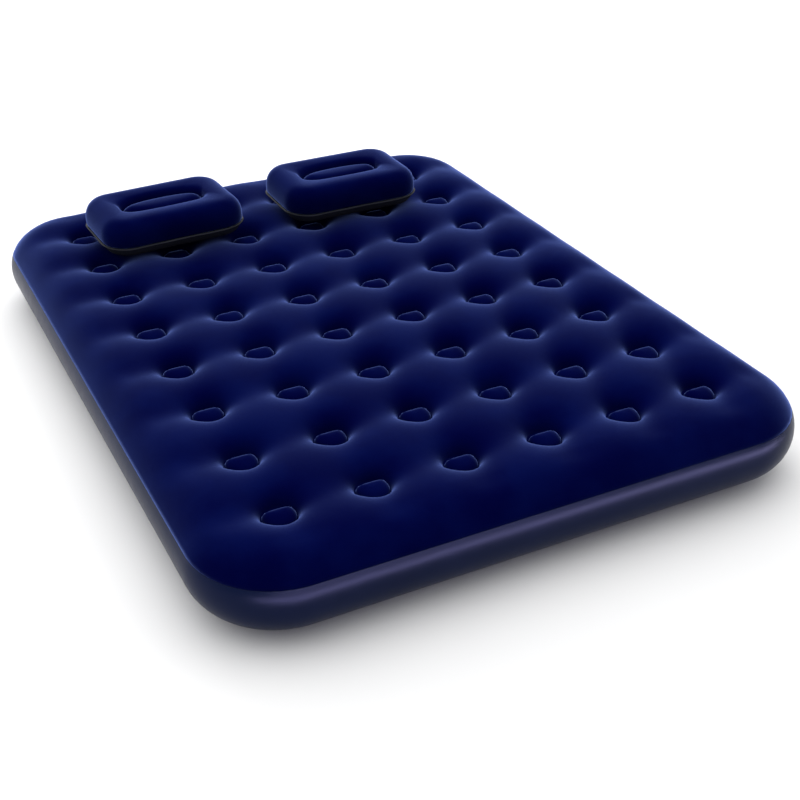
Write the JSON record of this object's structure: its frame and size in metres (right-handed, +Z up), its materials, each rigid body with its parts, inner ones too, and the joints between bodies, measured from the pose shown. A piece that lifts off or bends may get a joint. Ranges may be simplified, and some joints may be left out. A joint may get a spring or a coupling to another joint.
{
  "type": "air mattress",
  "caption": "Inflatable bed with a dimpled flocked top, glossy side band, two-way valve and loose oval-recess pillows.",
  "frame": {"origin": "middle of the flat underside", "axes": "+Y towards the head end, +X across the bed, +Z up"},
  "size_m": [1.52, 2.0596, 0.3153],
  "materials": {
    "flock": "short navy flock on vinyl, velvety",
    "side_vinyl": "soft-gloss embossed vinyl sheet",
    "base_vinyl": "embossed vinyl sheet",
    "pillow_base": "dull vinyl sheet",
    "coil_vinyl": "plain vinyl sheet",
    "valve_plastic": "moulded, satin",
    "seal_rubber": "soft, matt",
    "soft_vinyl": "soft moulded vinyl, milky"
  },
  "bodies": {
    "bed_base": {"bottom_sheet": "base_vinyl", "side_band": "side_vinyl", "coil_row_1": "coil_vinyl", "coil_row_2": "coil_vinyl", "coil_row_3": "coil_vinyl", "coil_row_4": "coil_vinyl", "coil_row_5": "coil_vinyl", "coil_row_6": "coil_vinyl", "coil_row_7": "coil_vinyl", "coil_row_8": "coil_vinyl"},
    "bed_top": {"top_sheet": "flock"},
    "valve_seat": {"valve_base": "valve_plastic"},
    "valve_insert_body": {"valve_insert": "valve_plastic", "insert_seal": "seal_rubber", "cap_strap": "soft_vinyl"},
    "valve_flap_body": {"valve_flap": "seal_rubber"},
    "cap_seal_body": {"cap_seal": "seal_rubber"},
    "valve_cap_body": {"valve_cap": "valve_plastic"},
    "left_pillow": {"left_pillow_top_sheet": "flock", "left_pillow_bottom_sheet": "pillow_base", "left_pillow_inner_wall": "coil_vinyl", "left_pillow_valve_base": "soft_vinyl"},
    "left_pillow_stem": {"left_pillow_valve_stem": "soft_vinyl"},
    "left_pillow_plug": {"left_pillow_valve_plug": "soft_vinyl"},
    "left_pillow_flap": {"left_pillow_valve_flap": "soft_vinyl"},
    "right_pillow": {"right_pillow_top_sheet": "flock", "right_pillow_bottom_sheet": "pillow_base", "right_pillow_inner_wall": "coil_vinyl", "right_pillow_valve_base": "soft_vinyl"},
    "right_pillow_stem": {"right_pillow_valve_stem": "soft_vinyl"},
    "right_pillow_plug": {"right_pillow_valve_plug": "soft_vinyl"},
    "right_pillow_flap": {"right_pillow_valve_flap": "soft_vinyl"}
  },
  "joints": [
    {"name": "top_sink", "type": "slide", "parent": "bed_base", "child": "bed_top", "axis": [0, 0, -1], "range_m": [0, 0.05], "stiffness_N_per_m": 2500, "springref_m": -0.03, "deforming": ["side_band", "coil_row_1", "coil_row_2", "coil_row_3", "coil_row_4", "coil_row_5", "coil_row_6", "coil_row_7", "coil_row_8"]},
    {"name": "valve_follow", "type": "slide", "parent": "bed_base", "child": "valve_seat", "axis": [0, 0, -1], "range_m": [0, 0.0327]},
    {"name": "insert_out", "type": "slide", "parent": "valve_seat", "child": "valve_insert_body", "axis": [0, 1, 0], "range_m": [0, 0.05]},
    {"name": "flap_open", "type": "hinge", "parent": "valve_insert_body", "child": "valve_flap_body", "pos_m": [0.42, 0.99754, 0.1187], "axis": [-1, 0, 0], "range_deg": [0, 50]},
    {"name": "cap_back_off", "type": "slide", "parent": "valve_insert_body", "child": "cap_seal_body", "axis": [0, 1, 0], "range_m": [0, 0.0045]},
    {"name": "cap_unscrew", "type": "hinge", "parent": "cap_seal_body", "child": "valve_cap_body", "pos_m": [0.42, 1.015, 0.105], "axis": [0, 1, 0], "range_deg": [0, 540]},
    {"name": "left_pillow_lift", "type": "slide", "parent": "bed_top", "child": "left_pillow", "axis": [0, 0, 1], "range_m": [0, 0.25]},
    {"name": "left_pillow_stem_out", "type": "slide", "parent": "left_pillow", "child": "left_pillow_stem", "axis": [-0.0454, 0.999, 0], "range_m": [0, 0.012]},
    {"name": "left_pillow_plug_out", "type": "slide", "parent": "left_pillow_stem", "child": "left_pillow_plug", "axis": [-0.0454, 0.999, 0], "range_m": [0, 0.015]},
    {"name": "left_pillow_flap_open", "type": "hinge", "parent": "left_pillow_stem", "child": "left_pillow_flap", "pos_m": [-0.32413, 0.80706, 0.2674], "axis": [-0.999, -0.0454, 0], "range_deg": [0, 50]},
    {"name": "right_pillow_lift", "type": "slide", "parent": "bed_top", "child": "right_pillow", "axis": [0, 0, 1], "range_m": [0, 0.25]},
    {"name": "right_pillow_stem_out", "type": "slide", "parent": "right_pillow", "child": "right_pillow_stem", "axis": [0, 1, 0], "range_m": [0, 0.012]},
    {"name": "right_pillow_plug_out", "type": "slide", "parent": "right_pillow_stem", "child": "right_pillow_plug", "axis": [0, 1, 0], "range_m": [0, 0.015]},
    {"name": "right_pillow_flap_open", "type": "hinge", "parent": "right_pillow_stem", "child": "right_pillow_flap", "pos_m": [0.245, 0.7852, 0.2674], "axis": [-1, 0, 0], "range_deg": [0, 50]}
  ],
  "couplings": [
    {"joint": "valve_follow", "follows": "top_sink", "ratio": 0.6538},
    {"joint": "cap_back_off", "follows": "cap_unscrew", "m_per_rad": 0.00047746}
  ]
}
